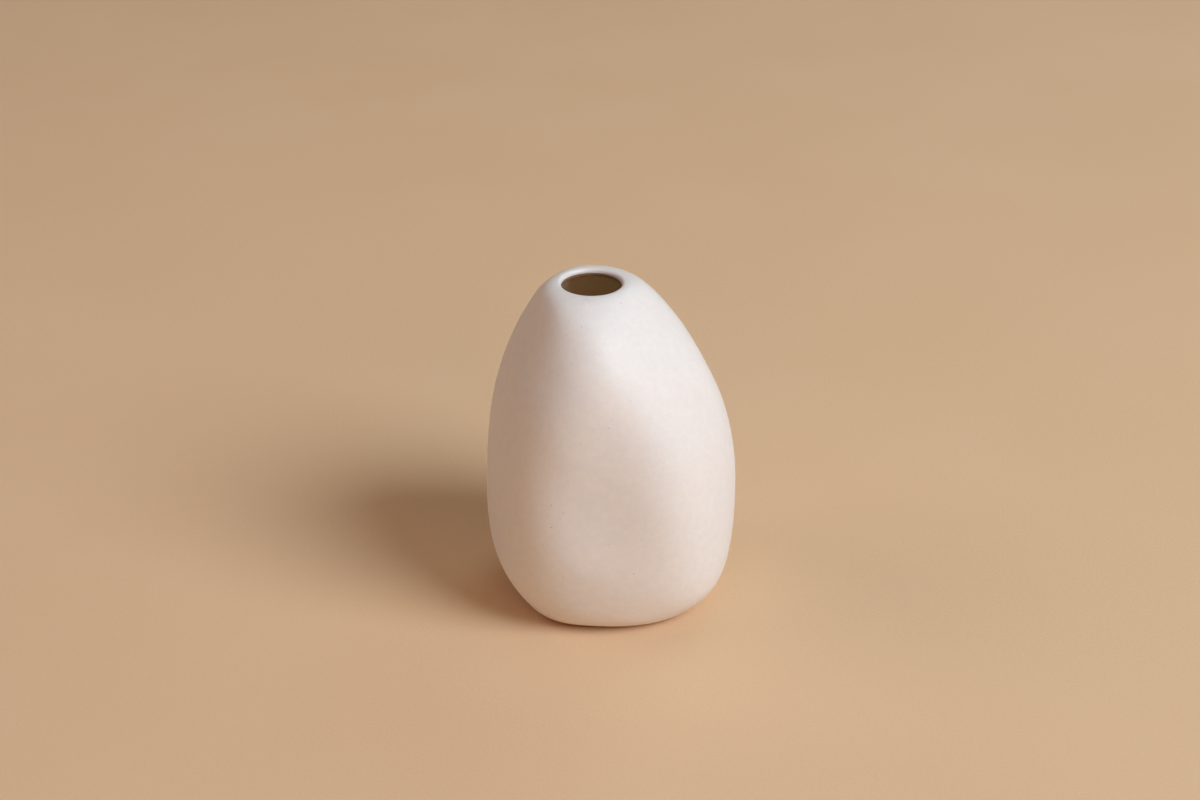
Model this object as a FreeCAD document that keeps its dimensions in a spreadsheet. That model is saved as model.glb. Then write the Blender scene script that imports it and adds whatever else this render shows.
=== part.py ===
import FreeCAD, Part
import Sketcher
import math
import os

# A small flower vase of slip-cast stoneware: a pebble shape with soft facets,
# a flat front low down, a rounded back, and a round mouth set to the left of the middle.
# Millimetres, +Z up, standing on z = 0 with the middle of its outline at x = y = 0.
# The front of the vase looks along -Y.
#
# It is made of three things that lie skin on skin:
#   clay_body    the fired clay wall, floor and bare foot ring
#   outer_glaze  the white coat, from just above the foot, over the lip and a little way down the throat
#   liner_glaze  the tan coat poured inside, from the throat to the floor

os.makedirs("parts", exist_ok=True)

doc = FreeCAD.newDocument("PillowVase")
Vector = FreeCAD.Vector

# ---------------------------------------------------------------------------
# Driving sizes
# ---------------------------------------------------------------------------

sizes = [
    ("vase_height", 150.0, "height over the crown"),
    ("mouth_radius", 12.75, "radius of the finished hole in the mouth"),
    ("mouth_x", -8.55, "middle of the mouth, left of the middle of the vase"),
    ("mouth_y", -2.62, "middle of the mouth, towards the front"),
    ("lip_round", 1.55, "rounding of the glazed lip"),
    ("glaze_turn_in", 0.45, "how far the white coat runs down the throat below the rounding"),
    ("glaze_thickness", 0.35, "white coat"),
    ("clay_thickness", 3.2, "clay wall"),
    ("liner_thickness", 0.25, "tan coat inside"),
    ("rim_drop", 1.2, "how far the clay's crown curls in and down before the throat is bored"),
    ("ceiling_drop", 0.15, "the wall round the throat is thicker by this"),
    ("floor_top", 5.0, "top of the clay floor"),
    ("glaze_line", 3.0, "height where the white coat stops above the foot"),
    ("foot_land", 4.2, "width of the bare ring that the vase stands on"),
    ("foot_recess", 1.5, "hollow under the floor, inside the foot ring"),
    ("recess_run", 2.5, "slope of the hollow's side, measured inwards"),
    ("throat_depth", 20.0, "how far below the crown the throat is bored, into the hollow"),
]

# The outer form, measured at sixteen heights. Each row is the height as a share of the
# whole, the middle of the ring in x and y, and the radius at every 15 degrees, from +X
# turning towards +Y.
DIRECTIONS = 24
rings = [
    (0.0000,  -0.73,  -2.47, (38.65, 38.32, 37.89, 37.78, 37.36, 37.04, 37.18, 37.30, 37.57, 37.84, 37.80, 38.07, 38.34, 38.22, 38.85, 39.51, 38.13, 36.00, 35.38, 36.21, 37.77, 38.90, 38.74, 38.48)),
    (0.0109,  -0.26,  -2.48, (41.30, 40.74, 40.13, 39.92, 39.59, 39.33, 39.48, 39.66, 40.08, 40.54, 40.46, 40.59, 41.02, 40.89, 41.08, 41.62, 40.52, 38.46, 37.75, 38.44, 39.84, 41.31, 41.76, 41.51)),
    (0.0432,   0.37,  -2.36, (45.54, 45.14, 44.63, 44.42, 44.26, 44.14, 44.28, 44.45, 44.85, 45.25, 44.95, 44.76, 45.15, 45.18, 45.35, 46.09, 45.51, 43.59, 42.64, 43.11, 44.31, 45.72, 46.26, 45.88)),
    (0.0955,   0.79,  -1.77, (50.14, 49.85, 49.93, 49.84, 49.07, 49.04, 49.29, 48.92, 49.33, 49.88, 49.35, 49.55, 50.16, 49.74, 50.49, 52.06, 50.89, 48.11, 46.74, 47.15, 49.14, 51.08, 51.09, 50.41)),
    (0.1654,   0.78,  -1.14, (52.96, 53.83, 55.05, 54.87, 53.42, 52.98, 52.63, 51.67, 51.99, 52.48, 52.18, 53.01, 53.79, 53.60, 55.19, 56.87, 54.80, 51.35, 49.91, 50.61, 52.87, 54.35, 53.58, 52.72)),
    (0.2500,   0.80,  -1.05, (53.94, 55.19, 57.42, 57.51, 55.54, 54.89, 54.23, 52.75, 53.05, 53.69, 53.41, 54.54, 55.49, 54.89, 56.31, 58.64, 57.31, 53.65, 51.52, 52.24, 54.60, 55.38, 54.21, 53.65)),
    (0.3455,   0.79,  -1.30, (54.08, 55.49, 57.96, 58.21, 56.05, 55.07, 54.30, 52.84, 53.23, 54.08, 53.73, 54.64, 55.65, 55.00, 56.26, 59.01, 58.03, 53.98, 51.72, 52.90, 55.14, 55.26, 53.87, 53.56)),
    (0.4477,   0.39,  -1.68, (53.45, 54.41, 56.72, 57.21, 55.53, 54.74, 53.94, 52.52, 52.88, 53.60, 53.25, 53.98, 54.68, 54.02, 55.29, 57.96, 57.13, 53.38, 51.60, 53.19, 54.98, 54.27, 52.94, 53.09)),
    (0.5523,  -0.49,  -2.11, (51.50, 52.21, 54.35, 55.13, 54.47, 53.95, 52.81, 51.63, 51.77, 51.85, 51.72, 52.50, 52.63, 51.98, 53.27, 55.66, 55.43, 52.63, 51.11, 52.45, 53.54, 52.39, 51.48, 51.69)),
    (0.6545,  -1.86,  -2.54, (48.15, 48.10, 49.76, 51.37, 52.34, 51.99, 50.53, 49.79, 49.32, 48.57, 48.91, 49.36, 48.47, 48.01, 49.25, 51.42, 52.77, 51.49, 49.74, 50.30, 50.41, 48.68, 48.38, 48.95)),
    (0.7500,  -3.05,  -2.97, (42.90, 42.41, 44.01, 46.53, 48.42, 47.94, 46.57, 46.28, 45.30, 43.92, 44.36, 44.33, 42.58, 42.16, 43.74, 46.00, 48.21, 48.65, 47.56, 46.53, 44.79, 43.24, 43.89, 44.32)),
    (0.8346,  -4.41,  -2.97, (37.14, 36.67, 37.78, 40.55, 42.40, 41.78, 40.98, 40.82, 39.52, 38.16, 38.28, 37.91, 36.38, 35.81, 36.94, 39.23, 42.02, 43.81, 43.49, 41.19, 38.15, 36.63, 37.14, 37.65)),
    (0.9045,  -6.15,  -2.96, (30.81, 30.84, 31.50, 33.72, 35.03, 34.53, 34.27, 33.92, 32.47, 31.44, 31.26, 30.65, 29.74, 29.38, 30.12, 32.25, 35.06, 37.15, 37.08, 34.33, 31.01, 29.48, 29.49, 30.13)),
    (0.9568,  -7.68,  -2.88, (24.96, 25.60, 25.83, 26.91, 27.77, 27.57, 27.60, 27.42, 26.15, 25.09, 24.74, 24.35, 24.06, 24.04, 24.44, 25.99, 28.36, 30.01, 29.65, 27.25, 24.72, 23.67, 23.48, 23.84)),
    (0.9891,  -8.50,  -2.93, (19.64, 20.20, 20.19, 20.36, 20.78, 20.94, 20.95, 20.69, 19.89, 19.08, 18.80, 18.95, 19.25, 19.42, 19.69, 20.55, 21.61, 21.93, 21.20, 19.93, 19.06, 18.87, 18.80, 18.93)),
    (1.0000,  -8.55,  -2.62, (14.30, 14.31, 14.31, 14.30, 14.30, 14.31, 14.31, 14.30, 14.30, 14.31, 14.30, 14.30, 14.31, 14.30, 14.31, 14.31, 14.30, 14.30, 14.30, 14.30, 14.31, 14.31, 14.30, 14.31)),
]

sheet = doc.addObject("Spreadsheet::Sheet", "Sizes")
row = 1
for name, value, words in sizes:
    sheet.set("A%d" % row, words)
    sheet.set("B%d" % row, "%g" % value)
    sheet.setAlias("B%d" % row, name)
    row += 1

COLUMNS = ["B", "C", "D"] + [chr(ord("E") + i) for i in range(22)] + ["AA", "AB"]
row += 1
for k, (level, cx, cy, radii) in enumerate(rings):
    sheet.set("A%d" % row, "ring %02d" % k)
    cells = [("level", level), ("shift_x", cx), ("shift_y", cy)]
    cells += [("turn%03d" % (i * 360 // DIRECTIONS), r) for i, r in enumerate(radii)]
    for column, (word, value) in zip(COLUMNS, cells):
        sheet.set("%s%d" % (column, row), "%g" % value)
        sheet.setAlias("%s%d" % (column, row), "ring%02d_%s" % (k, word))
    row += 1
doc.recompute()


def size(name):
    return float(sheet.get(name))


HEIGHT = size("vase_height")
RINGS = len(rings)


# ---------------------------------------------------------------------------
# Rings: closed smooth curves through one point in each direction
# ---------------------------------------------------------------------------

def closed_curve(points):
    curve = Part.BSplineCurve()
    count = len(points)
    curve.interpolate(Points=points, PeriodicFlag=True,
                      Parameters=[i / count for i in range(count + 1)])
    return curve


def outer_ring(k):
    """Points of ring k, read back from the sheet."""
    cx = size("ring%02d_shift_x" % k)
    cy = size("ring%02d_shift_y" % k)
    points = []
    for i in range(DIRECTIONS):
        turn = i * 360 // DIRECTIONS
        r = size("ring%02d_turn%03d" % (k, turn))
        points.append(Vector(cx + r * math.cos(math.radians(turn)),
                             cy + r * math.sin(math.radians(turn)), 0))
    return points


def inner_rim(crest, below):
    """The crown curls in past its highest ring: the ring below it, turned inside out about the crest."""
    return [c * 2 - b for c, b in zip(crest, below)]


def plane_of(body, role):
    return [f for f in body.Origin.OriginFeatures if f.Role == role][0]


def ring_sketch(body, name, points, height):
    """A closed ring, lying flat at a height that is an expression in the sheet's sizes."""
    sketch = body.newObject("Sketcher::SketchObject", name)
    sketch.AttachmentSupport = (plane_of(body, "XY_Plane"), [""])
    sketch.MapMode = "FlatFace"
    sketch.addGeometry(closed_curve(points), False)
    sketch.setExpression("AttachmentOffset.Base.z", height)
    return sketch


def circle_sketch(body, name, radius, height, x="Sizes.mouth_x", y="Sizes.mouth_y"):
    """A circle about the middle of the mouth, or about x and y. It starts a quarter turn from the rings."""
    sketch = body.newObject("Sketcher::SketchObject", name)
    sketch.AttachmentSupport = (plane_of(body, "XY_Plane"), [""])
    sketch.MapMode = "FlatFace"
    sketch.AttachmentOffset = FreeCAD.Placement(Vector(0, 0, 0), FreeCAD.Rotation(Vector(0, 0, 1), 90))
    sketch.addGeometry(Part.Circle(Vector(0, 0, 0), Vector(0, 0, 1), 10.0), False)
    sketch.addConstraint(Sketcher.Constraint("Coincident", 0, 3, -1, 1))
    sketch.addConstraint(Sketcher.Constraint("Radius", 0, 10.0))
    sketch.setExpression("Constraints[1]", radius)
    sketch.setExpression("AttachmentOffset.Base.x", x)
    sketch.setExpression("AttachmentOffset.Base.y", y)
    sketch.setExpression("AttachmentOffset.Base.z", height)
    return sketch


def loft(body, name, sketches, kind="PartDesign::AdditiveLoft"):
    feature = body.newObject(kind, name)
    feature.Profile = (sketches[0], [""])
    feature.Sections = [(s, [""]) for s in sketches[1:]]
    doc.recompute()
    return feature


def pocket(body, name, sketch, depth):
    feature = body.newObject("PartDesign::Pocket", name)
    feature.Profile = (sketch, [""])
    feature.Type = 0
    feature.setExpression("Length", depth)
    doc.recompute()
    return feature


def throat_edge(feature, radius):
    """The edge where the throat breaks out of the crown."""
    x, y = size("mouth_x"), size("mouth_y")
    found = []
    for number, edge in enumerate(feature.Shape.Edges, 1):
        spots = [edge.valueAt(edge.FirstParameter + (edge.LastParameter - edge.FirstParameter) * q / 7.0)
                 for q in range(8)]
        off = max(abs(math.hypot(p.x - x, p.y - y) - radius) for p in spots)
        low = min(p.z for p in spots)
        if off < 0.01 and low > HEIGHT - 5.0:
            found.append("Edge%d" % number)
    return found


def round_lip(body, name, feature, radius, expression):
    fillet = body.newObject("PartDesign::Fillet", name)
    fillet.Base = (feature, throat_edge(feature, radius))
    fillet.setExpression("Radius", expression)
    doc.recompute()
    return fillet


# ---------------------------------------------------------------------------
# Glazed form: everything inside the white coat's outer face
# ---------------------------------------------------------------------------

glazed = doc.addObject("PartDesign::Body", "GlazedForm")
sketches = []
outer = [outer_ring(k) for k in range(RINGS)]
for k in range(RINGS):
    sketches.append(ring_sketch(glazed, "GlazedRing%02d" % k, outer[k],
                                "Sizes.vase_height * Sizes.ring%02d_level" % k))
sketches.append(ring_sketch(glazed, "GlazedRim", inner_rim(outer[-1], outer[-2]),
                            "Sizes.vase_height * Sizes.ring%02d_level" % (RINGS - 2)))
glazed_loft = loft(glazed, "GlazedPebble", sketches)

# The outer skin, for measuring the rings under it.
skin = max((f for f in glazed_loft.Shape.Faces), key=lambda f: f.Area)


def columns(depth, samples=260):
    """For each direction, the line from foot to crest that lies `depth` under the skin.

    `depth` is a function of the height on the skin.
    """
    surface = skin.Surface
    u0, u1, v0, v1 = skin.ParameterRange
    lines = []
    for i in range(DIRECTIONS):
        u = u0 + (u1 - u0) * i / DIRECTIONS
        line = []
        for j in range(samples + 1):
            v = v0 + (v1 - v0) * j / samples
            p = surface.value(u, v)
            n = surface.normal(u, v)
            middle = Vector(p.x, p.y, 0)
            # the normal that points away from the hollow
            probe = p + n * 0.5
            inside = Vector(probe.x - size("ring06_shift_x"), probe.y - size("ring06_shift_y"), probe.z - HEIGHT * 0.4).Length \
                < Vector(p.x - size("ring06_shift_x"), p.y - size("ring06_shift_y"), p.z - HEIGHT * 0.4).Length
            if inside:
                n = n * -1.0
            line.append(p - n * depth(p.z))
        lines.append(line)
    return lines


def ring_under(lines, height, falling=False):
    """The ring where the lines cross a height, on their way up, or on the way down past the crest."""
    points = []
    for line in lines:
        order = range(len(line) - 1)
        if falling:
            order = reversed(order)
        for j in order:
            a, b = line[j], line[j + 1]
            if (a.z - height) * (b.z - height) <= 0.0 and a.z != b.z:
                share = (height - a.z) / (b.z - a.z)
                points.append(Vector(a.x + (b.x - a.x) * share, a.y + (b.y - a.y) * share, 0))
                break
    return points


# The coat stops at the glaze line, and the foot below it is bare.
glaze_line = circle_sketch(glazed, "GlazeLine", "Sizes.vase_height", "Sizes.glaze_line", "0", "0")
pocket(glazed, "BareFoot", glaze_line, "Sizes.glaze_line + 5")
glazed_throat = circle_sketch(glazed, "GlazedThroatCircle", "Sizes.mouth_radius", "Sizes.vase_height + 1")
glazed_pocket = pocket(glazed, "GlazedThroat", glazed_throat, "Sizes.throat_depth + 2")
round_lip(glazed, "GlazedLip", glazed_pocket, size("mouth_radius"), "Sizes.lip_round")


# ---------------------------------------------------------------------------
# Clay form: the clay's outer face, throat, lip and foot, still solid inside
# ---------------------------------------------------------------------------

def coat(height):
    """The white coat's thickness: nothing at the foot, full at the glaze line."""
    share = max(0.0, min(1.0, height / size("glaze_line")))
    return size("glaze_thickness") * share * share * (3.0 - 2.0 * share)


clay = doc.addObject("PartDesign::Body", "ClayForm")
clay_lines = columns(coat)
clay_top = HEIGHT - size("glaze_thickness")
sketches = [ring_sketch(clay, "ClayRing00", outer[0], "0")]
for k in range(1, RINGS - 1):
    sketches.append(ring_sketch(clay, "ClayRing%02d" % k,
                                ring_under(clay_lines, clay_top * size("ring%02d_level" % k)),
                                "(Sizes.vase_height - Sizes.glaze_thickness) * Sizes.ring%02d_level" % k))
crest = ring_under(clay_lines, clay_top - 0.04)
sketches.append(ring_sketch(clay, "ClayCrest", crest, "Sizes.vase_height - Sizes.glaze_thickness - 0.04"))
sketches.append(ring_sketch(clay, "ClayRim", ring_under(clay_lines, clay_top - size("rim_drop"), falling=True),
                            "Sizes.vase_height - Sizes.glaze_thickness - Sizes.rim_drop"))
loft(clay, "ClayPebble", sketches)

# Hollow under the floor: it leaves the ring that the vase stands on.
def drawn_in(points, distance):
    middle = Vector(sum(p.x for p in points) / len(points), sum(p.y for p in points) / len(points), 0)
    return [middle + (p - middle) * (1.0 - distance / (p - middle).Length) for p in points]


hollow_low = ring_sketch(clay, "FootHollowEdge", drawn_in(outer[0], size("foot_land")), "0")
hollow_high = ring_sketch(clay, "FootHollowTop",
                          drawn_in(outer[0], size("foot_land") + size("recess_run")), "Sizes.foot_recess")
loft(clay, "FootHollow", [hollow_low, hollow_high], "PartDesign::SubtractiveLoft")

clay_throat = circle_sketch(clay, "ClayThroatCircle", "Sizes.mouth_radius + Sizes.liner_thickness",
                            "Sizes.vase_height + 1")
clay_pocket = pocket(clay, "ClayThroat", clay_throat, "Sizes.throat_depth + 1")
round_lip(clay, "ClayLip", clay_pocket, size("mouth_radius") + size("liner_thickness"),
          "Sizes.lip_round - Sizes.glaze_thickness")


# ---------------------------------------------------------------------------
# The hollow in the clay, and the smaller hollow left inside the liner
# ---------------------------------------------------------------------------

def hollow_form(name, words, thickness, thickness_words, bottom, bottom_words):
    """A pebble `thickness` under the skin, with a flat floor and a flat ceiling round the throat."""
    body = doc.addObject("PartDesign::Body", name)
    lines = columns(lambda height: thickness)
    top = HEIGHT - thickness - size("ceiling_drop")
    top_words = "(Sizes.vase_height - Sizes.ceiling_drop - %s)" % thickness_words
    rings_here = []
    for k in range(RINGS):
        level = size("ring%02d_level" % k)
        rings_here.append(ring_sketch(
            body, "%sRing%02d" % (words, k),
            ring_under(lines, bottom + (top - bottom) * level),
            "%s + (%s - %s) * Sizes.ring%02d_level" % (bottom_words, top_words, bottom_words, k)))
    loft(body, words + "Pebble", rings_here)
    return body


wall = size("glaze_thickness") + size("clay_thickness")
cavity = hollow_form("CavityForm", "Cavity", wall, "Sizes.glaze_thickness - Sizes.clay_thickness",
                     size("floor_top"), "Sizes.floor_top")
room = hollow_form("RoomForm", "Room", wall + size("liner_thickness"),
                   "Sizes.glaze_thickness - Sizes.clay_thickness - Sizes.liner_thickness",
                   size("floor_top") + size("liner_thickness"),
                   "(Sizes.floor_top + Sizes.liner_thickness)")


# ---------------------------------------------------------------------------
# Throat: round plugs about the middle of the mouth
# ---------------------------------------------------------------------------

def plug(name, radius, low, high):
    cylinder = doc.addObject("Part::Cylinder", name)
    cylinder.setExpression("Radius", radius)
    cylinder.setExpression("Height", "(%s) - (%s)" % (high, low))
    cylinder.Placement = FreeCAD.Placement(Vector(0, 0, 0), FreeCAD.Rotation(Vector(0, 0, 1), 90))
    cylinder.setExpression("Placement.Base.x", "Sizes.mouth_x")
    cylinder.setExpression("Placement.Base.y", "Sizes.mouth_y")
    cylinder.setExpression("Placement.Base.z", low)
    return cylinder


COAT_END = "Sizes.vase_height - Sizes.lip_round - Sizes.glaze_turn_in"
lining = plug("ThroatLining", "Sizes.mouth_radius + Sizes.liner_thickness",
              "Sizes.vase_height - 0.4 * Sizes.throat_depth", COAT_END)
bore = plug("ThroatBore", "Sizes.mouth_radius",
            "Sizes.vase_height - 0.5 * Sizes.throat_depth", "Sizes.vase_height + 1")
below_coat = plug("BelowCoat", "Sizes.mouth_radius + 3 * Sizes.liner_thickness",
                  "Sizes.vase_height - Sizes.throat_depth - 3", COAT_END)
doc.recompute()


# ---------------------------------------------------------------------------
# The three pieces
# ---------------------------------------------------------------------------

def cut(name, base, tool):
    feature = doc.addObject("Part::Cut", name)
    feature.Base = base
    feature.Tool = tool
    feature.Refine = False
    return feature


def fuse(name, base, tool):
    feature = doc.addObject("Part::Fuse", name)
    feature.Base = base
    feature.Tool = tool
    feature.Refine = False
    return feature


clay_body = cut("ClayBody", clay, cavity)
clay_body.Label = "clay_body"

coat_raw = cut("CoatOverClay", glazed, clay)
outer_glaze = cut("OuterGlaze", coat_raw, below_coat)
outer_glaze.Label = "outer_glaze"

lined = fuse("LinedHollow", cavity, lining)
open_room = fuse("OpenRoom", room, bore)
liner_glaze = cut("LinerGlaze", lined, open_room)
liner_glaze.Label = "liner_glaze"

doc.recompute()

pieces = [clay_body, outer_glaze, liner_glaze]

for obj in doc.Objects:
    for word in ("Invalid", "Error"):
        if word in obj.State:
            raise RuntimeError("%s is %s" % (obj.Name, obj.State))
for piece in pieces:
    shape = piece.Shape
    if shape.isNull() or not shape.isValid():
        raise RuntimeError("%s has no sound shape" % piece.Label)
    if len(shape.Solids) != 1:
        raise RuntimeError("%s has %d solids" % (piece.Label, len(shape.Solids)))

for piece in pieces:
    shape = piece.Shape
    box = shape.BoundBox
    print("%-12s volume %.1f mm3  x %.2f..%.2f  y %.2f..%.2f  z %.2f..%.2f  faces %d" % (
        piece.Label, shape.Volume, box.XMin, box.XMax, box.YMin, box.YMax, box.ZMin, box.ZMax,
        len(shape.Faces)))
    shape.exportStep("parts/%s.step" % piece.Label)
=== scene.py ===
import math

import bpy
import numpy as np
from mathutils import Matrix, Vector


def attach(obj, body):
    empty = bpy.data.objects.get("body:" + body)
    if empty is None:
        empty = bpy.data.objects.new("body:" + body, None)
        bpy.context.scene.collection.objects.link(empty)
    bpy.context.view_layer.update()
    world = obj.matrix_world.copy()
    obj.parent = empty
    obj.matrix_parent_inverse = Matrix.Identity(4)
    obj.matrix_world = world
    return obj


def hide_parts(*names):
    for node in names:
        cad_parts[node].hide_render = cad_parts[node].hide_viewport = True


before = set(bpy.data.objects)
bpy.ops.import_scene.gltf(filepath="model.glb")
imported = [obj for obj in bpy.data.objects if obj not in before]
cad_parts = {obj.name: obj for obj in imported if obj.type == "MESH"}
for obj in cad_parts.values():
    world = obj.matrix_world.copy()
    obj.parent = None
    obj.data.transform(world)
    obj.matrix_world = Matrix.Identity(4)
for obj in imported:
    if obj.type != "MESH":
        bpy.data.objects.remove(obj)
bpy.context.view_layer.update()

# ---------------------------------------------------------------------------------------------------------------------
# The form. Sixteen rings from the foot to the crest of the lip. Each holds its level as a share of the vase's height,
# the place of its middle (x, y), and its radius in 24 directions from +X round towards +Y. Lengths here are in mm.
# ---------------------------------------------------------------------------------------------------------------------
HEIGHT = 150.0
RINGS = (
    (0.0000,  -0.73,  -2.47, (38.65, 38.32, 37.89, 37.78, 37.36, 37.04, 37.18, 37.30, 37.57, 37.84, 37.80, 38.07, 38.34, 38.22, 38.85, 39.51, 38.13, 36.00, 35.38, 36.21, 37.77, 38.90, 38.74, 38.48)),
    (0.0109,  -0.26,  -2.48, (41.30, 40.74, 40.13, 39.92, 39.59, 39.33, 39.48, 39.66, 40.08, 40.54, 40.46, 40.59, 41.02, 40.89, 41.08, 41.62, 40.52, 38.46, 37.75, 38.44, 39.84, 41.31, 41.76, 41.51)),
    (0.0432,   0.37,  -2.36, (45.54, 45.14, 44.63, 44.42, 44.26, 44.14, 44.28, 44.45, 44.85, 45.25, 44.95, 44.76, 45.15, 45.18, 45.35, 46.09, 45.51, 43.59, 42.64, 43.11, 44.31, 45.72, 46.26, 45.88)),
    (0.0955,   0.79,  -1.77, (50.14, 49.85, 49.93, 49.84, 49.07, 49.04, 49.29, 48.92, 49.33, 49.88, 49.35, 49.55, 50.16, 49.74, 50.49, 52.06, 50.89, 48.11, 46.74, 47.15, 49.14, 51.08, 51.09, 50.41)),
    (0.1654,   0.78,  -1.14, (52.96, 53.83, 55.05, 54.87, 53.42, 52.98, 52.63, 51.67, 51.99, 52.48, 52.18, 53.01, 53.79, 53.60, 55.19, 56.87, 54.80, 51.35, 49.91, 50.61, 52.87, 54.35, 53.58, 52.72)),
    (0.2500,   0.80,  -1.05, (53.94, 55.19, 57.42, 57.51, 55.54, 54.89, 54.23, 52.75, 53.05, 53.69, 53.41, 54.54, 55.49, 54.89, 56.31, 58.64, 57.31, 53.65, 51.52, 52.24, 54.60, 55.38, 54.21, 53.65)),
    (0.3455,   0.79,  -1.30, (54.08, 55.49, 57.96, 58.21, 56.05, 55.07, 54.30, 52.84, 53.23, 54.08, 53.73, 54.64, 55.65, 55.00, 56.26, 59.01, 58.03, 53.98, 51.72, 52.90, 55.14, 55.26, 53.87, 53.56)),
    (0.4477,   0.39,  -1.68, (53.45, 54.41, 56.72, 57.21, 55.53, 54.74, 53.94, 52.52, 52.88, 53.60, 53.25, 53.98, 54.68, 54.02, 55.29, 57.96, 57.13, 53.38, 51.60, 53.19, 54.98, 54.27, 52.94, 53.09)),
    (0.5523,  -0.49,  -2.11, (51.50, 52.21, 54.35, 55.13, 54.47, 53.95, 52.81, 51.63, 51.77, 51.85, 51.72, 52.50, 52.63, 51.98, 53.27, 55.66, 55.43, 52.63, 51.11, 52.45, 53.54, 52.39, 51.48, 51.69)),
    (0.6545,  -1.86,  -2.54, (48.15, 48.10, 49.76, 51.37, 52.34, 51.99, 50.53, 49.79, 49.32, 48.57, 48.91, 49.36, 48.47, 48.01, 49.25, 51.42, 52.77, 51.49, 49.74, 50.30, 50.41, 48.68, 48.38, 48.95)),
    (0.7500,  -3.05,  -2.97, (42.90, 42.41, 44.01, 46.53, 48.42, 47.94, 46.57, 46.28, 45.30, 43.92, 44.36, 44.33, 42.58, 42.16, 43.74, 46.00, 48.21, 48.65, 47.56, 46.53, 44.79, 43.24, 43.89, 44.32)),
    (0.8346,  -4.41,  -2.97, (37.14, 36.67, 37.78, 40.55, 42.40, 41.78, 40.98, 40.82, 39.52, 38.16, 38.28, 37.91, 36.38, 35.81, 36.94, 39.23, 42.02, 43.81, 43.49, 41.19, 38.15, 36.63, 37.14, 37.65)),
    (0.9045,  -6.15,  -2.96, (30.81, 30.84, 31.50, 33.72, 35.03, 34.53, 34.27, 33.92, 32.47, 31.44, 31.26, 30.65, 29.74, 29.38, 30.12, 32.25, 35.06, 37.15, 37.08, 34.33, 31.01, 29.48, 29.49, 30.13)),
    (0.9568,  -7.68,  -2.88, (24.96, 25.60, 25.83, 26.91, 27.77, 27.57, 27.60, 27.42, 26.15, 25.09, 24.74, 24.35, 24.06, 24.04, 24.44, 25.99, 28.36, 30.01, 29.65, 27.25, 24.72, 23.67, 23.48, 23.84)),
    (0.9891,  -8.50,  -2.93, (19.64, 20.20, 20.19, 20.36, 20.78, 20.94, 20.95, 20.69, 19.89, 19.08, 18.80, 18.95, 19.25, 19.42, 19.69, 20.55, 21.61, 21.93, 21.20, 19.93, 19.06, 18.87, 18.80, 18.93)),
    (1.0000,  -8.55,  -2.62, (14.30, 14.31, 14.31, 14.30, 14.30, 14.31, 14.31, 14.30, 14.30, 14.31, 14.30, 14.30, 14.31, 14.30, 14.31, 14.31, 14.30, 14.30, 14.30, 14.30, 14.31, 14.31, 14.30, 14.31)),
)
GLAZE = 0.35  # white coat on the wall
WALL = 3.2  # clay
LINER = 0.25  # coat inside
MOUTH_R = 12.75  # clear radius of the throat
LIP_ROUND = 1.55
GLAZE_LINE = 3.0  # the white coat begins this high above the foot
COAT_END = 148.0  # it ends at this level in the throat
FLOOR = 5.25  # top of the liner on the floor
LAND = 4.2  # bare foot ring
RECESS = 1.5  # hollow inside the foot ring
RECESS_RUN = 2.5

COLUMNS = 256
QUARTER = COLUMNS // 4
ANGLE = np.arange(COLUMNS) * (2 * math.pi / COLUMNS)
LAST = len(RINGS) - 1

radii = np.array([r[3] for r in RINGS])
shift_x = np.array([r[1] for r in RINGS])
shift_y = np.array([r[2] for r in RINGS])


def around(values, angle):
    """Radii at any angles, from 24 evenly spaced ones, and their slope."""
    wave = np.fft.rfft(values, axis=-1) / values.shape[-1]
    out = np.zeros(values.shape[:-1] + angle.shape)
    slope = np.zeros_like(out)
    for k in range(wave.shape[-1]):
        twice = 1.0 if k in (0, values.shape[-1] // 2) else 2.0
        turn = np.exp(1j * k * angle)
        part = wave[..., k][..., None] * turn * twice
        out += part.real
        slope += (part * 1j * k).real
    return out, slope


def second_slopes(knots):
    """Second slopes of the natural cubic spline through knots at 0, 1, 2 ..."""
    n = len(knots)
    a = np.zeros((n, n))
    b = np.zeros_like(knots)
    a[0, 0] = a[-1, -1] = 1.0
    for i in range(1, n - 1):
        a[i, i - 1 : i + 2] = (1.0, 4.0, 1.0)
        b[i] = 6.0 * (knots[i - 1] - 2.0 * knots[i] + knots[i + 1])
    return np.linalg.solve(a, b)


def along(knots, bend, v):
    """The spline and its slope at v, which has one column for each direction. knots may differ by direction."""
    i = np.clip(np.floor(v).astype(int), 0, len(knots) - 2)
    t = v - i
    s = 1.0 - t
    pick = (lambda a, k: a[k, np.arange(a.shape[1])[None]]) if knots.ndim == 2 else (lambda a, k: a[k])
    low, high, low_bend, high_bend = pick(knots, i), pick(knots, i + 1), pick(bend, i), pick(bend, i + 1)
    value = s * low + t * high + ((s**3 - s) * low_bend + (t**3 - t) * high_bend) / 6.0
    slope = high - low + ((1 - 3 * s**2) * low_bend + (3 * t**2 - 1) * high_bend) / 6.0
    return value, slope


ring_r, ring_r_turn = around(radii, ANGLE)
bend_r, bend_turn = second_slopes(ring_r), second_slopes(ring_r_turn)
bend_x, bend_y = second_slopes(shift_x), second_slopes(shift_y)
COS, SIN = np.cos(ANGLE), np.sin(ANGLE)


def full(v):
    """Ring numbers as rows x COLUMNS: a plain list of rows holds for every direction."""
    v = np.asarray(v, float)
    return np.repeat(v[:, None], COLUMNS, 1) if v.ndim == 1 else v


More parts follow.
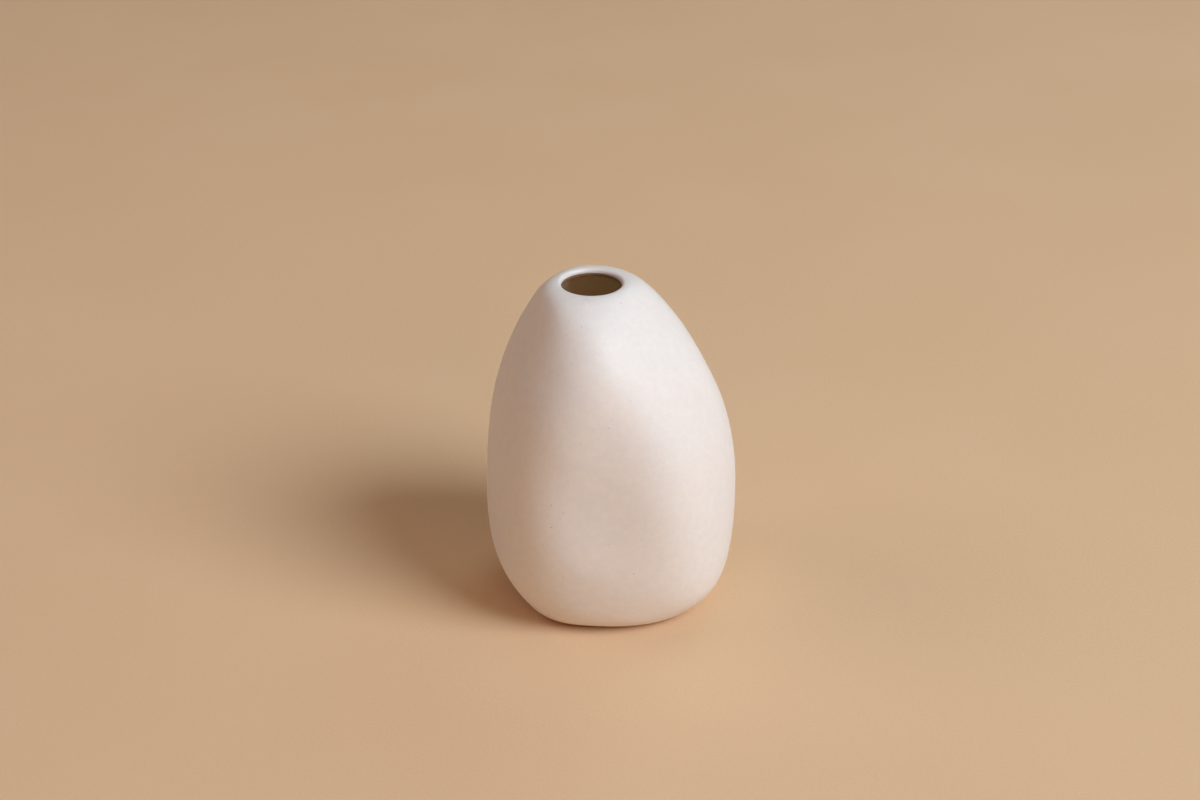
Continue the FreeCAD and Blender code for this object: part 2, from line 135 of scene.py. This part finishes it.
def skin(v):
    """Points and outward normals of the glazed form at ring numbers v. Both are rows x COLUMNS x 3."""
    v = full(v)
    r, r_v = along(ring_r, bend_r, v)
    r_u, _ = along(ring_r_turn, bend_turn, v)
    x, x_v = along(shift_x, bend_x, v)
    y, y_v = along(shift_y, bend_y, v)
    z = HEIGHT * (1 - np.cos(math.pi * v / LAST)) / 2
    z_v = HEIGHT * np.sin(math.pi * v / LAST) * math.pi / LAST / 2
    p = np.stack([x + r * COS, y + r * SIN, z], -1)
    turn = np.stack([r_u * COS - r * SIN, r_u * SIN + r * COS, np.zeros_like(r)], -1)
    rise = np.stack([x_v + r_v * COS, y_v + r_v * SIN, z_v], -1)
    n = np.cross(turn, rise)
    return p, n / np.linalg.norm(n, axis=-1, keepdims=True)


def ring_numbers(start, stop, step):
    """Ring numbers from start to stop, about step mm apart along the skin."""
    fine = np.linspace(start, stop, 1500)
    r, _ = along(ring_r, bend_r, full(fine))
    z = HEIGHT * (1 - np.cos(math.pi * fine / LAST)) / 2
    d = np.hypot(np.diff(r.mean(1)), np.diff(z))
    run = np.concatenate([[0.0], np.cumsum(d)])
    count = max(2, int(round(run[-1] / step)) + 1)
    return np.interp(np.linspace(0, run[-1], count), run, fine)


# ---------------------------------------------------------------------------------------------------------------------
# Small unevenness of a cast and dipped pot: a few slow waves with fixed phases, so it is the same in every run.
# ---------------------------------------------------------------------------------------------------------------------
rng = np.random.default_rng(20260)


def wave_set(count, shortest, longest, flat=False):
    """Directions, lengths and phases of smooth waves in space."""
    d = rng.normal(size=(count, 3))
    if flat:
        d[:, 2] *= 0.3
    d /= np.linalg.norm(d, axis=1, keepdims=True)
    length = np.exp(rng.uniform(math.log(shortest), math.log(longest), count))
    return d * (2 * math.pi / length)[:, None], rng.uniform(0, 2 * math.pi, count), length / longest


def wobble(p, waves):
    """Sum of the waves at points p, about -1 to 1."""
    k, phase, weight = waves
    total = np.zeros(p.shape[:-1])
    for i in range(len(phase)):
        total += weight[i] * np.sin(p @ k[i] + phase[i])
    return total / math.sqrt(0.5 * float(np.sum(weight**2))) / 2.2


CAST = wave_set(26, 11.0, 34.0)
DIP = wave_set(30, 3.2, 8.0)
RUN = wave_set(12, 9.0, 40.0)


def around_wave(amount, seed, turns=(2, 3, 5, 7, 11, 17, 23)):
    """A periodic wobble of a line that runs once round the vase."""
    g = np.random.default_rng(seed)
    out = np.zeros(COLUMNS)
    for k in turns:
        out += g.normal() / math.sqrt(k) * np.sin(k * ANGLE + g.uniform(0, 2 * math.pi))
    return amount * out / np.abs(out).max()


# ---------------------------------------------------------------------------------------------------------------------
# Mesh making
# ---------------------------------------------------------------------------------------------------------------------
def patch_inside(loop):
    """Inner points and quads that fill a closed loop of COLUMNS points with a square net, so no point is a pole."""
    n = QUARTER
    ix = lambda k: loop[np.asarray(k) % COLUMNS]
    s = np.linspace(0, 1, n + 1)
    low, right = ix(np.arange(0, n + 1)), ix(np.arange(n, 2 * n + 1))
    top, left = ix(3 * n - np.arange(0, n + 1)), ix(4 * n - np.arange(0, n + 1))
    a, b = s[:, None, None], s[None, :, None]  # a along low and top, b along left and right
    net = (1 - b) * low[:, None] + b * top[:, None] + (1 - a) * left[None] + a * right[None]
    net -= (1 - a) * (1 - b) * low[0] + a * (1 - b) * low[-1] + (1 - a) * b * top[0] + a * b * top[-1]
    return net


def add_patch(verts, faces, loop_ids, loop_points, shape=None, flip=False):
    """Fills the loop. shape(points) may move the inner points."""
    n = QUARTER
    net = patch_inside(loop_points)
    for _ in range(60):  # even out the net between its fixed edges
        net[1:-1, 1:-1] = 0.25 * (net[2:, 1:-1] + net[:-2, 1:-1] + net[1:-1, 2:] + net[1:-1, :-2])
    ids = np.zeros((n + 1, n + 1), int)
    for k in range(n + 1):
        ids[k, 0] = loop_ids[k % COLUMNS]
        ids[n, k] = loop_ids[(n + k) % COLUMNS]
        ids[n - k, n] = loop_ids[(2 * n + k) % COLUMNS]
        ids[0, n - k] = loop_ids[(3 * n + k) % COLUMNS]
    inner = net[1:-1, 1:-1].reshape(-1, 3)
    if shape is not None:
        inner = shape(inner)
    start = sum(len(v) for v in verts)
    ids[1:-1, 1:-1] = start + np.arange(len(inner)).reshape(n - 1, n - 1)
    verts.append(inner)
    q = np.stack([ids[:-1, :-1], ids[1:, :-1], ids[1:, 1:], ids[:-1, 1:]], -1).reshape(-1, 4)
    faces.append(q[:, ::-1] if flip else q)


def add_rows(verts, faces, rows, loop=False):
    """Joins rows of COLUMNS points, each to the next. Returns the ids of the first and the last row."""
    start = sum(len(v) for v in verts)
    n = len(rows)
    verts.append(np.asarray(rows).reshape(-1, 3))
    ids = start + np.arange(n * COLUMNS).reshape(n, COLUMNS)
    low = ids if loop else ids[:-1]
    high = np.roll(ids, -1, 0) if loop else ids[1:]
    q = np.stack([low, np.roll(low, -1, 1), np.roll(high, -1, 1), high], -1).reshape(-1, 4)
    faces.append(q)
    return ids[0], ids[-1]


def finish_mesh(name, verts, faces, material):
    points = np.concatenate(verts) / 1000.0
    quads = np.concatenate(faces)
    mesh = bpy.data.meshes.new(name)
    mesh.vertices.add(len(points))
    mesh.vertices.foreach_set("co", points.astype(np.float32).ravel())
    mesh.loops.add(quads.size)
    mesh.loops.foreach_set("vertex_index", quads.astype(np.int32).ravel())
    mesh.polygons.add(len(quads))
    mesh.polygons.foreach_set("loop_start", np.arange(0, quads.size, 4, dtype=np.int32))
    mesh.polygons.foreach_set("use_smooth", np.ones(len(quads), bool))
    mesh.update(calc_edges=True)
    mesh.validate()
    mesh.materials.append(material)
    obj = bpy.data.objects.new(name, mesh)
    bpy.context.scene.collection.objects.link(obj)
    return obj


def bridge(start, end, start_dir, end_dir, count):
    """Rows strictly between two rows, on a smooth curve that leaves and arrives in the given directions."""
    t = np.linspace(0, 1, count + 2)[1:-1][:, None, None]
    a, b = 2 * t**3 - 3 * t**2 + 1, t**3 - 2 * t**2 + t
    c, d = -2 * t**3 + 3 * t**2, t**3 - t**2
    return a * start + b * start_dir + c * end + d * end_dir


def throat_row(radius, z):
    out = np.zeros((COLUMNS, 3))
    out[:, 0] = shift_x[-1] + radius * COS
    out[:, 1] = shift_y[-1] + radius * SIN
    out[:, 2] = z
    return out


def lip_rows(depth, count):
    """The rounded lip, `depth` under the white coat's surface: from the crest inwards to the throat's wall."""
    crest = throat_row(ring_r[-1], HEIGHT - LIP_ROUND)
    rows = []
    for turn in np.linspace(0, math.pi / 2, count):
        reach = LIP_ROUND - depth
        reach_in = LIP_ROUND - min(depth, LINER)
        row = crest.copy()
        row[:, 0] -= reach_in * math.sin(turn) * COS
        row[:, 1] -= reach_in * math.sin(turn) * SIN
        row[:, 2] += reach * math.cos(turn)
        rows.append(row)
    return np.array(rows)


def even_out(p, n):
    """The cast's and the coat's unevenness along the normals, gone at the foot and at the lip."""
    z = p[..., 2:3]
    keep = np.clip((z - 3.0) / 12.0, 0, 1) * np.clip((149.2 - z) / 8.0, 0, 1)
    keep = keep * keep * (3 - 2 * keep)
    return p + n * keep * (0.060 * wobble(p, CAST) + 0.010 * wobble(p, DIP))[..., None]


def under(v, depth):
    """Rows `depth` mm inside the skin."""
    p, n = skin(v)
    return even_out(p, n) - depth * n


# Ring numbers at which the skin is at a given level
def ring_at(level):
    return math.acos(1 - 2 * level / HEIGHT) * LAST / math.pi


# ---------------------------------------------------------------------------------------------------------------------
# Node helpers
# ---------------------------------------------------------------------------------------------------------------------
class Nodes:
    """Short names for building a material's nodes."""

    def __init__(self, name):
        self.material = bpy.data.materials.new(name)
        self.material.use_nodes = True
        self.tree = self.material.node_tree
        self.tree.nodes.clear()
        self.out = self.tree.nodes.new("ShaderNodeOutputMaterial")
        self.shader = self.tree.nodes.new("ShaderNodeBsdfPrincipled")
        self.tree.links.new(self.shader.outputs[0], self.out.inputs["Surface"])
        self.place = self.tree.nodes.new("ShaderNodeTexCoord").outputs["Object"]

    def link(self, a, b):
        self.tree.links.new(a, b)

    def put(self, socket, value):
        if isinstance(value, bpy.types.NodeSocket):
            self.link(value, socket)
        else:
            socket.default_value = value

    def noise(self, size, detail=2.0, rough=0.5, where=None, distortion=0.0):
        """Noise with features about `size` mm across, 0 to 1."""
        n = self.tree.nodes.new("ShaderNodeTexNoise")
        self.link(where or self.place, n.inputs["Vector"])
        n.inputs["Scale"].default_value = 1000.0 / size
        n.inputs["Detail"].default_value = detail
        n.inputs["Roughness"].default_value = rough
        n.inputs["Distortion"].default_value = distortion
        return n.outputs["Fac"]

    def cells(self, size, random=1.0):
        """Voronoi cells about `size` mm apart: distance to the nearest point in mm, and three random numbers of its cell."""
        v = self.tree.nodes.new("ShaderNodeTexVoronoi")
        self.link(self.place, v.inputs["Vector"])
        v.inputs["Scale"].default_value = 1000.0 / size
        v.inputs["Randomness"].default_value = random
        split = self.tree.nodes.new("ShaderNodeSeparateColor")
        self.link(v.outputs["Color"], split.inputs[0])
        return self.math("MULTIPLY", v.outputs["Distance"], size), split.outputs

    def math(self, op, a, b=0.0, c=None):
        m = self.tree.nodes.new("ShaderNodeMath")
        m.operation = op
        self.put(m.inputs[0], a)
        self.put(m.inputs[1], b)
        if c is not None:
            self.put(m.inputs[2], c)
        return m.outputs[0]

    def span(self, value, low, high, to_low=0.0, to_high=1.0, smooth=True):
        """Maps low..high to to_low..to_high, held at both ends."""
        m = self.tree.nodes.new("ShaderNodeMapRange")
        m.interpolation_type = "SMOOTHSTEP" if smooth else "LINEAR"
        m.clamp = True
        self.put(m.inputs["Value"], value)
        for k, x in (("From Min", low), ("From Max", high), ("To Min", to_low), ("To Max", to_high)):
            self.put(m.inputs[k], x)
        return m.outputs[0]

    def mix(self, amount, a, b, how="MIX"):
        m = self.tree.nodes.new("ShaderNodeMix")
        m.data_type = "RGBA"
        m.blend_type = how
        self.put(m.inputs[0], amount)
        self.put(m.inputs[6], a if isinstance(a, bpy.types.NodeSocket) else (*a, 1.0))
        self.put(m.inputs[7], b if isinstance(b, bpy.types.NodeSocket) else (*b, 1.0))
        return m.outputs[2]

    def height(self):
        """Level above the foot in mm."""
        split = self.tree.nodes.new("ShaderNodeSeparateXYZ")
        self.link(self.place, split.inputs[0])
        return self.math("MULTIPLY", split.outputs["Z"], 1000.0), split.outputs

    def bump(self, height, depth, strength=1.0, after=None):
        """Bump of `depth` mm for a height of 0 to 1."""
        b = self.tree.nodes.new("ShaderNodeBump")
        b.inputs["Strength"].default_value = strength
        b.inputs["Distance"].default_value = depth / 1000.0
        self.link(height, b.inputs["Height"])
        if after is not None:
            self.link(after, b.inputs["Normal"])
        return b.outputs["Normal"]


def specks(nodes, size, small, large, share):
    """Mask of round specks: cells `size` mm apart, a share of which hold one, of radius small to large mm."""
    distance, pick = nodes.cells(size)
    edge = nodes.span(pick[0], 0.0, 1.0, small, large, smooth=False)
    inner = nodes.math("MULTIPLY", edge, 0.55)
    dot = nodes.span(distance, inner, edge, 1.0, 0.0)
    return nodes.math("MULTIPLY", dot, nodes.math("LESS_THAN", pick[1], share))


def white_glaze():
    m = Nodes("satin_white_glaze")
    level, at = m.height()
    off_x = m.math("SUBTRACT", m.math("MULTIPLY", at["X"], 1000.0), float(shift_x[-1]))
    off_y = m.math("SUBTRACT", m.math("MULTIPLY", at["Y"], 1000.0), float(shift_y[-1]))
    from_axis = m.math("SQRT", m.math("ADD", m.math("MULTIPLY", off_x, off_x), m.math("MULTIPLY", off_y, off_y)))
    cloud = m.noise(26.0, 3.0, 0.5)
    mottle = m.noise(3.2, 4.0, 0.6)
    grain = m.noise(0.9, 2.0, 0.5)
    colour = m.mix(m.span(cloud, 0.3, 0.7), WHITE_COOL, WHITE_WARM)
    # the coat's fine mottle, about one part in fifty
    tone = m.math("ADD", m.span(mottle, 0.28, 0.72, 0.975, 1.015), m.span(grain, 0.3, 0.7, -0.012, 0.012))
    tint = m.tree.nodes.new("ShaderNodeCombineColor")
    for k in range(3):
        m.put(tint.inputs[k], tone)
    colour = m.mix(1.0, colour, tint.outputs[0], "MULTIPLY")
    # thin coat at its lower edge lets the clay through
    edge_noise = m.noise(2.2, 3.0, 0.5)
    thin = m.span(m.math("ADD", level, m.math("MULTIPLY", edge_noise, -0.7)), 2.35, 3.3, 0.55, 0.0)
    colour = m.mix(thin, colour, CLAY_TONE)
    # painted shade: the coat's edge inside the throat takes the same brown that stands for the shade in the mouth
    inner = m.math("MULTIPLY", m.span(m.math("ADD", level, m.math("MULTIPLY", edge_noise, -0.35)), 147.75, 148.25, 0.75, 0.0), m.span(from_axis, MOUTH_R + 0.35, MOUTH_R + 0.75, 1.0, 0.0))
    colour = m.mix(inner, colour, THROAT_SHADE_BROWN)
    # fine iron specks: few dark ones, more that lie under the coat and only just show
    dark = specks(m, 4.9, 0.15, 0.35, 0.60)
    faint = specks(m, 3.6, 0.16, 0.42, 0.60)
    colour = m.mix(m.math("MULTIPLY", faint, 0.16), colour, (0.42, 0.32, 0.24))
    colour = m.mix(m.math("MULTIPLY", dark, 0.66), colour, (0.16, 0.115, 0.085))
    m.put(m.shader.inputs["Base Color"], colour)
    gloss = m.span(m.noise(7.0, 4.0, 0.55), 0.25, 0.75, 0.49, 0.57)
    # the lip's crest is a little smoother
    gloss = m.math("SUBTRACT", gloss, m.span(level, 147.6, 148.8, 0.0, 0.17))
    m.put(m.shader.inputs["Roughness"], m.math("ADD", gloss, m.math("MULTIPLY", dark, 0.15)))
    m.shader.inputs["IOR"].default_value = 1.5
    skin_height = m.noise(2.0, 2.0, 0.5)
    normal = m.bump(skin_height, 0.012)
    pits = specks(m, 6.3, 0.08, 0.20, 0.45)
    normal = m.bump(m.math("SUBTRACT", 1.0, m.math("ADD", pits, m.math("MULTIPLY", dark, 0.35))), 0.05, 1.0, normal)
    m.put(m.shader.inputs["Normal"], normal)
    return m.material


def liner():
    m = Nodes("cream_liner_glaze")
    level, _ = m.height()
    drift = m.noise(16.0, 4.0, 0.55)
    mottle = m.noise(2.4, 4.0, 0.6)
    colour = m.mix(m.span(drift, 0.3, 0.7), LINER_DARK, LINER_LIGHT)
    tone = m.span(mottle, 0.25, 0.75, 0.985, 1.0)
    tint = m.tree.nodes.new("ShaderNodeCombineColor")
    for k in range(3):
        m.put(tint.inputs[k], tone)
    colour = m.mix(1.0, colour, tint.outputs[0], "MULTIPLY")
    spots = specks(m, 4.4, 0.12, 0.32, 0.4)
    colour = m.mix(m.math("MULTIPLY", spots, 0.35), colour, (0.20, 0.12, 0.07))
    # painted shade: the throat is painted brown to stand for the shade inside the mouth
    painted_throat_shade = m.span(m.math("ADD", level, m.math("MULTIPLY", m.noise(1.6, 3.0, 0.5), 0.5)), 144.7, 145.9)
    colour = m.mix(painted_throat_shade, colour, THROAT_SHADE_BROWN)
    m.put(m.shader.inputs["Base Color"], colour)
    m.put(m.shader.inputs["Roughness"], m.span(m.noise(6.0, 3.0, 0.5), 0.25, 0.75, 0.34, 0.50))
    m.shader.inputs["IOR"].default_value = 1.5
    normal = m.bump(m.noise(4.5, 3.0, 0.5), 0.05)
    m.put(m.shader.inputs["Normal"], normal)
    return m.material


def clay():
    m = Nodes("bare_fired_clay")
    drift = m.noise(14.0, 4.0, 0.6)
    grain = m.noise(0.55, 3.0, 0.65)
    colour = m.mix(m.span(drift, 0.3, 0.7), (0.50, 0.385, 0.275), (0.60, 0.475, 0.35))
    tone = m.span(grain, 0.25, 0.75, 0.86, 1.10)
    tint = m.tree.nodes.new("ShaderNodeCombineColor")
    for k in range(3):
        m.put(tint.inputs[k], tone)
    colour = m.mix(1.0, colour, tint.outputs[0], "MULTIPLY")
    dark = specks(m, 1.9, 0.08, 0.26, 0.6)
    pale = specks(m, 2.3, 0.10, 0.30, 0.5)
    colour = m.mix(m.math("MULTIPLY", pale, 0.45), colour, (0.74, 0.66, 0.55))
    colour = m.mix(m.math("MULTIPLY", dark, 0.7), colour, (0.13, 0.085, 0.06))
    m.put(m.shader.inputs["Base Color"], colour)
    m.put(m.shader.inputs["Roughness"], m.span(grain, 0.2, 0.8, 0.80, 0.95))
    m.shader.inputs["IOR"].default_value = 1.45
    normal = m.bump(grain, 0.10)
    normal = m.bump(m.noise(1.6, 3.0, 0.6), 0.10, 1.0, normal)
    m.put(m.shader.inputs["Normal"], normal)
    return m.material


def ground():
    m = Nodes("pale_ground")
    grain = m.noise(1.3, 4.0, 0.65)
    cloud = m.noise(160.0, 2.0, 0.5)
    colour = m.mix(m.span(cloud, 0.3, 0.7), FLOOR_A, FLOOR_B)
    tone = m.span(grain, 0.25, 0.75, 0.965, 1.02)
    tint = m.tree.nodes.new("ShaderNodeCombineColor")
    for k in range(3):
        m.put(tint.inputs[k], tone)
    colour = m.mix(1.0, colour, tint.outputs[0], "MULTIPLY")
    m.put(m.shader.inputs["Base Color"], colour)
    m.shader.inputs["Roughness"].default_value = 0.9
    m.shader.inputs["Specular IOR Level"].default_value = 0.25
    m.put(m.shader.inputs["Normal"], m.bump(grain, 0.06))
    return m.material


WHITE_COOL = (0.808, 0.780, 0.762)
WHITE_WARM = (0.822, 0.786, 0.760)
CLAY_TONE = (0.56, 0.44, 0.32)
# painted shade: a dark brown that stands for the shade inside the mouth's throat
THROAT_SHADE_BROWN = (0.25, 0.135, 0.068)
LINER_DARK = (0.965, 0.885, 0.700)
LINER_LIGHT = (0.980, 0.910, 0.740)
FLOOR_A = (0.780, 0.530, 0.320)
FLOOR_B = (0.795, 0.545, 0.335)

# ---------------------------------------------------------------------------------------------------------------------
# The three pieces
# ---------------------------------------------------------------------------------------------------------------------
STEP = 0.8
SUNK = 0.05  # hidden faces of a coat lie this far inside the clay


def arc_step(v):
    """mm of skin for one ring at v."""
    a, b = skin([v - 0.01]), skin([v + 0.01])
    return float(np.linalg.norm(b[0] - a[0], axis=-1).mean() / 0.02)


def build_coat():
    """White coat: from its line above the foot, over the lip, into the throat, and back along the clay."""
    line = GLAZE_LINE + around_wave(0.20, 11)
    start = np.arccos(1 - 2 * line / HEIGHT) * LAST / math.pi
    per_ring = arc_step(ring_at(GLAZE_LINE))
    rows, thick = [], []
    for e in (0.0, 0.03, 0.08, 0.16, 0.26, 0.38, 0.6, 0.9, 1.3):
        rows.append(start + e / per_ring)
        t = GLAZE * math.sqrt(1 - (1 - min(e / 0.38, 1.0)) ** 2)
        bead = 0.07 * math.exp(-(((e - 0.55) / 0.5) ** 2)) * min(e / 0.38, 1.0)
        thick.append(t + bead)
    even = ring_at(6.4)
    for k in (1, 2, 3):
        rows.append(rows[8] + (even - rows[8]) * k / 4)
        thick.append(GLAZE + 0.03 * (1 - k / 4) ** 2)
    edge_v, edge_t = np.array(rows), np.array(thick)
    p, n = skin(edge_v)
    lower = p - (GLAZE - edge_t)[:, None, None] * n
    upper_v = ring_numbers(even, LAST, STEP)
    outer = under(upper_v, 0.0)
    outer[-1] = lip_rows(0.0, 3)[0]
    lip = lip_rows(0.0, 15)[1:]
    end = COAT_END + around_wave(0.10, 12)
    wall = []
    for e, d in ((0.62, 0.0), (0.40, 0.0), (0.24, 0.005), (0.13, 0.03), (0.05, 0.075), (0.0, 0.15)):
        row = throat_row(MOUTH_R + d, 0.0)
        row[:, 2] = np.minimum(end + e, HEIGHT - LIP_ROUND)
        wall.append(row)
    wall = np.array(wall)[1:]
    inside_throat = np.array([throat_row(MOUTH_R + LINER + SUNK, COAT_END + 0.05)])
    back_lip = lip_rows(GLAZE + SUNK, 7)[::-1]
    back_lip[..., 0:2] += SUNK * np.stack([COS, SIN], -1)
    back_v = ring_numbers(even, LAST, 3.0)[::-1][1:]
    back = under(back_v, GLAZE + SUNK)
    p, n = skin(edge_v[[8, 0]])
    foot_back = p - (GLAZE + SUNK) * n
    verts, faces = [], []
    add_rows(verts, faces, np.concatenate([lower, outer, lip, wall, inside_throat, back_lip, back, foot_back]), loop=True)
    return finish_mesh("white_coat", verts, faces, white_glaze())


def inside_rows(depth, throat, floor):
    """The inner wall `depth` mm under the skin: from the throat down to a ring on the floor."""
    v_top, v_low = 14.1, 1.62
    wall = under(ring_numbers(v_low, v_top, 1.1)[::-1], depth)
    top = throat_row(throat, 147.1)
    down = np.zeros_like(top)
    down[:, 2] = -3.2
    lead = wall[0] - under([v_top + 0.06], depth)[0]
    lead *= 3.6 / np.linalg.norm(lead, axis=-1, keepdims=True)
    ceiling = bridge(top, wall[0], down, lead, 9)
    last = wall[-1]
    middle = last.mean(0)
    ring = middle + (last - middle) * 0.885
    ring[:, 2] = floor
    drop = last - wall[-2]
    drop *= 5.0 / np.linalg.norm(drop, axis=-1, keepdims=True)
    inward = (middle - last) * [1, 1, 0]
    inward *= 4.0 / np.linalg.norm(inward, axis=-1, keepdims=True)
    corner = bridge(last, ring, drop, inward, 6)
    ring2 = middle + (last - middle) * 0.86
    ring2[:, 2] = floor
    return np.concatenate([ceiling, wall, corner, ring[None], ring2[None]])


def build_liner():
    """Liner coat: its back along the clay from the floor up, over its top edge in the throat, and its face down again."""
    back = inside_rows(GLAZE + WALL - SUNK, MOUTH_R + LINER + SUNK, FLOOR - LINER - SUNK)[::-1]
    face = inside_rows(GLAZE + WALL + LINER, MOUTH_R, FLOOR)
    wave = around_wave(0.06, 13)
    edge = []
    for r, z in ((MOUTH_R + LINER + SUNK, 147.1), (MOUTH_R + LINER + SUNK, 148.0), (MOUTH_R + 0.19, 148.28), (MOUTH_R + 0.12, 148.28), (MOUTH_R + 0.05, 148.16), (MOUTH_R + 0.012, 147.98), (MOUTH_R, 147.7), (MOUTH_R, 147.4), (MOUTH_R, 147.1)):
        row = throat_row(r, z)
        row[:, 2] += wave * min(1.0, max(0.0, (z - 147.1) / 0.8))
        edge.append(row)
    verts, faces = [], []
    first, last = add_rows(verts, faces, np.concatenate([back, np.array(edge), face]))
    rows = verts[0].reshape(-1, COLUMNS, 3)
    add_patch(verts, faces, first, rows[0], flip=True)
    add_patch(verts, faces, last, rows[-1])
    return finish_mesh("liner_coat", verts, faces, liner())


def build_clay():
    """Clay: the hollow under the foot, foot ring, outer wall, lip, throat, inner wall and floor."""
    foot, _ = skin([0.0])
    foot = foot[0]
    middle = np.array([shift_x[0], shift_y[0], 0.0])
    out = foot - middle
    out /= np.linalg.norm(out, axis=-1, keepdims=True)
    ring = lambda inwards, z: foot - out * inwards + np.array([0.0, 0.0, z])
    under_foot = [ring(LAND + RECESS_RUN + 1.2, RECESS), ring(LAND + RECESS_RUN + 0.2, RECESS), ring(LAND + RECESS_RUN - 0.25, RECESS - 0.10)]
    under_foot += [ring(LAND + RECESS_RUN * k, RECESS * k) for k in (0.75, 0.6, 0.45, 0.3, 0.18)]
    under_foot += [ring(LAND + 0.15, 0.045), ring(LAND - 0.12, 0.008), ring(LAND - 0.4, 0.0)]
    under_foot += [ring(x, 0.0) for x in (3.1, 2.3, 1.5, 0.8, 0.3)]
    low_v = np.concatenate([[0.0, 0.12, 0.25, 0.4, 0.55], ring_numbers(0.72, ring_at(4.6), 0.35)])
    p, n = skin(low_v)
    depth = GLAZE * np.clip(p[..., 2] / 1.6, 0, 1)
    chatter = 0.035 * wobble(p, wave_set(40, 0.9, 3.0)) * np.clip(p[..., 2] / 0.8, 0, 1)
    lower = p - (depth - chatter)[..., None] * n
    upper = under(ring_numbers(ring_at(6.0), LAST, 3.0), GLAZE)
    lip = lip_rows(GLAZE, 7)
    upper[-1] = lip[0]
    throat = np.array([throat_row(MOUTH_R + LINER, z) for z in (147.8, 147.1)])
    inner = inside_rows(GLAZE + WALL, MOUTH_R + LINER, FLOOR - LINER)
    verts, faces = [], []
    first, last = add_rows(verts, faces, np.concatenate([np.array(under_foot), lower, upper, lip[1:], throat, inner]))
    rows = verts[0].reshape(-1, COLUMNS, 3)
    add_patch(verts, faces, first, rows[0], flip=True)
    add_patch(verts, faces, last, rows[-1])
    return finish_mesh("clay_form", verts, faces, clay())


coat = build_coat()
inner_coat = build_liner()
form = build_clay()
for piece, node, slot in ((coat, "outer_glaze", "white_glaze"), (inner_coat, "liner_glaze", "liner_glaze"), (form, "clay_body", "bare_clay")):
    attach(piece, "root")
    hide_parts(node)

# ---------------------------------------------------------------------------------------------------------------------
# Floor, light and camera
# ---------------------------------------------------------------------------------------------------------------------
floor_mesh = bpy.data.meshes.new("floor")
edge = 2.2
floor_rim = [(edge * math.cos(math.tau * k / 180), edge * math.sin(math.tau * k / 180), 0.0) for k in range(180)]
floor_mesh.from_pydata(floor_rim, [], [tuple(range(180))])
floor_mesh.materials.append(ground())
floor = bpy.data.objects.new("floor", floor_mesh)
bpy.context.scene.collection.objects.link(floor)

# Each light: azimuth from -Y (towards +X is negative here) and elevation in degrees, distance and width in m, watts, colour
LIGHTS = {
    "key": (-57.5, 39.5, 4.0, 2.4, 152.0, (0.80, 0.90, 0.995)),
    "left": (93.0, 39.0, 3.0, 1.8, 14.0, (1.0, 0.86, 0.86)),
    "back": (-145.0, 40.0, 3.0, 1.8, 9.5, (0.68, 0.94, 1.0)),
    "top": (178.0, 80.0, 3.0, 1.6, 7.5, (1.0, 0.84, 0.62)),
    "front": (-22.0, 23.0, 3.0, 1.3, 7.5, (1.0, 0.57, 0.36)),
}
SKY_LOW, SKY_HIGH, SKY_LEVEL = (0.63, 0.375, 0.215), (0.05, 0.022, 0.009), 1.0


def add_light(name, azimuth, elevation, distance, size, watts, colour):
    a, e = math.radians(azimuth), math.radians(elevation)
    way = Vector((-math.sin(a) * math.cos(e), -math.cos(a) * math.cos(e), math.sin(e)))
    data = bpy.data.lights.new(name, "AREA")
    data.shape = "DISK"
    data.size = size
    data.energy = watts
    data.color = colour
    light = bpy.data.objects.new(name, data)
    light.location = Vector((0.0, 0.0, 0.07)) + way * distance
    light.rotation_mode = "QUATERNION"
    light.rotation_quaternion = (-way).to_track_quat("-Z", "Y")
    light.visible_camera = False
    bpy.context.scene.collection.objects.link(light)
    return light


for light_name, facts in LIGHTS.items():
    add_light(light_name, *facts)

world = bpy.data.worlds.new("studio")
world.use_nodes = True
background = world.node_tree.nodes["Background"]
way = world.node_tree.nodes.new("ShaderNodeTexCoord")
part = world.node_tree.nodes.new("ShaderNodeSeparateXYZ")
rise = world.node_tree.nodes.new("ShaderNodeMapRange")
tone = world.node_tree.nodes.new("ShaderNodeMix")
rise.interpolation_type = "SMOOTHSTEP"
rise.inputs["From Min"].default_value = 0.08
rise.inputs["From Max"].default_value = 0.26
tone.data_type = "RGBA"
tone.inputs[6].default_value = (*SKY_LOW, 1.0)
tone.inputs[7].default_value = (*SKY_HIGH, 1.0)
world.node_tree.links.new(way.outputs["Generated"], part.inputs["Vector"])
world.node_tree.links.new(part.outputs["Z"], rise.inputs["Value"])
world.node_tree.links.new(rise.outputs["Result"], tone.inputs[0])
world.node_tree.links.new(tone.outputs[2], background.inputs["Color"])
background.inputs["Strength"].default_value = SKY_LEVEL
bpy.context.scene.world = world
bpy.context.scene.view_settings.view_transform = "Standard"
if hasattr(bpy.context.scene, "cycles"):
    bpy.context.scene.cycles.diffuse_bounces = 32
    bpy.context.scene.cycles.max_bounces = 36

camera_data = bpy.data.cameras.new("camera")
camera_data.lens = 60.0
camera_data.sensor_width = 36.0
camera = bpy.data.objects.new("camera", camera_data)
camera.location = (-0.004965, -0.76322, 0.50169)
camera.rotation_euler = (math.radians(61.8), 0.0, 0.0)
bpy.context.scene.collection.objects.link(camera)
bpy.context.scene.camera = camera
